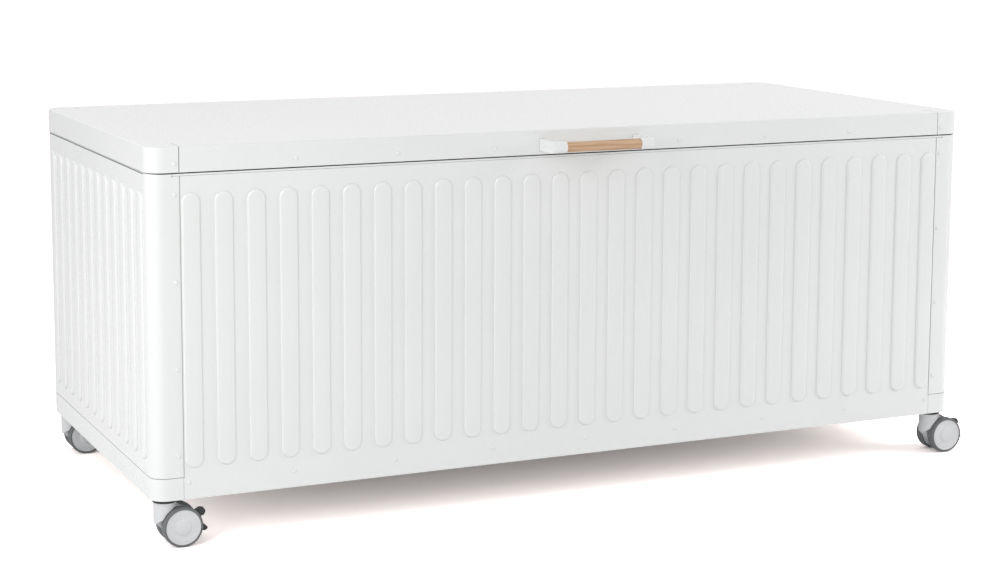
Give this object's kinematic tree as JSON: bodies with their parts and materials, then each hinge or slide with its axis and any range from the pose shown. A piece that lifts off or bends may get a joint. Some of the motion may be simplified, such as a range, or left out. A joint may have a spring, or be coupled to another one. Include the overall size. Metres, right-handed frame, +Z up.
{
  "type": "outdoor storage chest",
  "caption": "Long steel storage chest with beaded walls, a hinged flat lid with a wooden bar handle, and twin-wheel swivel casters.",
  "frame": {"origin": "on the floor under the middle of the whole chest with its handle, hinges and casters", "axes": "+X to the right along the front, +Y from the front to the rear, +Z up"},
  "size_m": [1.8001, 0.8694, 0.7365],
  "materials": {
    "white_steel": "satin white powder coat",
    "white_rivet": "satin white",
    "zinc_steel": "zinc plated",
    "handle_wood": "oiled pale wood",
    "caster_grey": "matt light grey moulding",
    "caster_wheel": "grey moulding with soft tread",
    "black_plastic": "matt black",
    "black_rubber": "matt",
    "strut_black": "satin black",
    "strut_rod": "polished"
  },
  "bodies": {
    "chest": {"front_panel": "white_steel", "rear_panel": "white_steel", "front_rim_rail": "white_steel", "rear_rim_rail": "white_steel", "base_tray": "white_steel", "floor_rail_left": "white_steel", "floor_rail_middle": "white_steel", "floor_rail_right": "white_steel", "end_panel_left": "white_steel", "end_panel_right": "white_steel", "base_band_left": "white_steel", "base_band_right": "white_steel", "chest_rivets": "white_rivet", "caster_stems": "zinc_steel", "caster_nuts": "zinc_steel", "bump_pads": "black_rubber", "hinge_body_leaf_left": "zinc_steel", "hinge_pin_left": "zinc_steel", "strut_body_bracket_left": "zinc_steel", "hinge_body_leaf_right": "zinc_steel", "hinge_pin_right": "zinc_steel", "strut_body_bracket_right": "zinc_steel"},
    "lid": {"lid_shell": "white_steel", "lid_stiffener_left": "white_steel", "lid_stiffener_right": "white_steel", "handle_bracket_left": "white_steel", "handle_bracket_right": "white_steel", "lid_rivets": "white_rivet", "handle_screws": "zinc_steel", "handle_bar": "handle_wood", "hinge_lid_leaf_left": "zinc_steel", "strut_lid_bracket_left": "zinc_steel", "hinge_lid_leaf_right": "zinc_steel", "strut_lid_bracket_right": "zinc_steel"},
    "strut_cylinder_left": {"strut_cylinder_left": "strut_black"},
    "strut_rod_left": {"strut_rod_left": "strut_rod"},
    "strut_cylinder_right": {"strut_cylinder_right": "strut_black"},
    "strut_rod_right": {"strut_rod_right": "strut_rod"},
    "caster_front_left": {"caster_front_left_housing": "caster_grey", "caster_front_left_axle": "zinc_steel"},
    "caster_front_left_front_wheel": {"caster_front_left_front_wheel": "caster_wheel"},
    "caster_front_left_rear_wheel": {"caster_front_left_rear_wheel": "caster_wheel"},
    "caster_front_left_brake_lever": {"caster_front_left_brake_lever": "black_plastic"},
    "caster_front_right": {"caster_front_right_housing": "caster_grey", "caster_front_right_axle": "zinc_steel"},
    "caster_front_right_front_wheel": {"caster_front_right_front_wheel": "caster_wheel"},
    "caster_front_right_rear_wheel": {"caster_front_right_rear_wheel": "caster_wheel"},
    "caster_front_right_brake_lever": {"caster_front_right_brake_lever": "black_plastic"},
    "caster_rear_left": {"caster_rear_left_housing": "caster_grey", "caster_rear_left_axle": "zinc_steel"},
    "caster_rear_left_front_wheel": {"caster_rear_left_front_wheel": "caster_wheel"},
    "caster_rear_left_rear_wheel": {"caster_rear_left_rear_wheel": "caster_wheel"},
    "caster_rear_right": {"caster_rear_right_housing": "caster_grey", "caster_rear_right_axle": "zinc_steel"},
    "caster_rear_right_front_wheel": {"caster_rear_right_front_wheel": "caster_wheel"},
    "caster_rear_right_rear_wheel": {"caster_rear_right_rear_wheel": "caster_wheel"}
  },
  "joints": [
    {"name": "lid_hinge", "type": "hinge", "parent": "chest", "child": "lid", "pos_m": [-0.0228, 0.43025, 0.68825], "axis": [-1, 0, 0], "range_deg": [0, 75]},
    {"name": "strut_pivot_left", "type": "hinge", "parent": "chest", "child": "strut_cylinder_left", "pos_m": [-0.8638, 0.37025, 0.49825], "axis": [-1, 0, 0], "range_deg": [0, 25.5]},
    {"name": "strut_slide_left", "type": "slide", "parent": "strut_cylinder_left", "child": "strut_rod_left", "axis": [0, -0.3063, 0.9519], "range_m": [0, 0.106]},
    {"name": "strut_pivot_right", "type": "hinge", "parent": "chest", "child": "strut_cylinder_right", "pos_m": [0.8182, 0.37025, 0.49825], "axis": [-1, 0, 0], "range_deg": [0, 25.5]},
    {"name": "strut_slide_right", "type": "slide", "parent": "strut_cylinder_right", "child": "strut_rod_right", "axis": [0, -0.3063, 0.9519], "range_m": [0, 0.106]},
    {"name": "caster_front_left_swivel", "type": "hinge", "parent": "chest", "child": "caster_front_left", "pos_m": [-0.8678, -0.33275, 0.076], "axis": [0, 0, 1], "continuous": true},
    {"name": "caster_front_left_front_wheel_spin", "type": "hinge", "parent": "caster_front_left", "child": "caster_front_left_front_wheel", "pos_m": [-0.8408, -0.35275, 0.0375], "axis": [0, 1, 0], "continuous": true},
    {"name": "caster_front_left_rear_wheel_spin", "type": "hinge", "parent": "caster_front_left", "child": "caster_front_left_rear_wheel", "pos_m": [-0.8408, -0.31275, 0.0375], "axis": [0, 1, 0], "continuous": true},
    {"name": "caster_front_left_brake", "type": "hinge", "parent": "caster_front_left", "child": "caster_front_left_brake_lever", "pos_m": [-0.8208, -0.33275, 0.0465], "axis": [0, -1, 0], "range_deg": [0, 18]},
    {"name": "caster_front_right_swivel", "type": "hinge", "parent": "chest", "child": "caster_front_right", "pos_m": [0.8222, -0.33275, 0.076], "axis": [0, 0, 1], "continuous": true},
    {"name": "caster_front_right_front_wheel_spin", "type": "hinge", "parent": "caster_front_right", "child": "caster_front_right_front_wheel", "pos_m": [0.8492, -0.35275, 0.0375], "axis": [0, 1, 0], "continuous": true},
    {"name": "caster_front_right_rear_wheel_spin", "type": "hinge", "parent": "caster_front_right", "child": "caster_front_right_rear_wheel", "pos_m": [0.8492, -0.31275, 0.0375], "axis": [0, 1, 0], "continuous": true},
    {"name": "caster_front_right_brake", "type": "hinge", "parent": "caster_front_right", "child": "caster_front_right_brake_lever", "pos_m": [0.8692, -0.33275, 0.0465], "axis": [0, -1, 0], "range_deg": [0, 18]},
    {"name": "caster_rear_left_swivel", "type": "hinge", "parent": "chest", "child": "caster_rear_left", "pos_m": [-0.8678, 0.39125, 0.076], "axis": [0, 0, 1], "continuous": true},
    {"name": "caster_rear_left_front_wheel_spin", "type": "hinge", "parent": "caster_rear_left", "child": "caster_rear_left_front_wheel", "pos_m": [-0.8408, 0.37125, 0.0375], "axis": [0, 1, 0], "continuous": true},
    {"name": "caster_rear_left_rear_wheel_spin", "type": "hinge", "parent": "caster_rear_left", "child": "caster_rear_left_rear_wheel", "pos_m": [-0.8408, 0.41125, 0.0375], "axis": [0, 1, 0], "continuous": true},
    {"name": "caster_rear_right_swivel", "type": "hinge", "parent": "chest", "child": "caster_rear_right", "pos_m": [0.8222, 0.39125, 0.076], "axis": [0, 0, 1], "continuous": true},
    {"name": "caster_rear_right_front_wheel_spin", "type": "hinge", "parent": "caster_rear_right", "child": "caster_rear_right_front_wheel", "pos_m": [0.8492, 0.37125, 0.0375], "axis": [0, 1, 0], "continuous": true},
    {"name": "caster_rear_right_rear_wheel_spin", "type": "hinge", "parent": "caster_rear_right", "child": "caster_rear_right_rear_wheel", "pos_m": [0.8492, 0.41125, 0.0375], "axis": [0, 1, 0], "continuous": true}
  ],
  "couplings": [
    {"joint": "strut_pivot_left", "follows": "lid_hinge", "ratio": 0.33285},
    {"joint": "strut_slide_left", "follows": "lid_hinge", "m_per_rad": 0.079519},
    {"joint": "strut_pivot_right", "follows": "lid_hinge", "ratio": 0.33285},
    {"joint": "strut_slide_right", "follows": "lid_hinge", "m_per_rad": 0.079519}
  ]
}
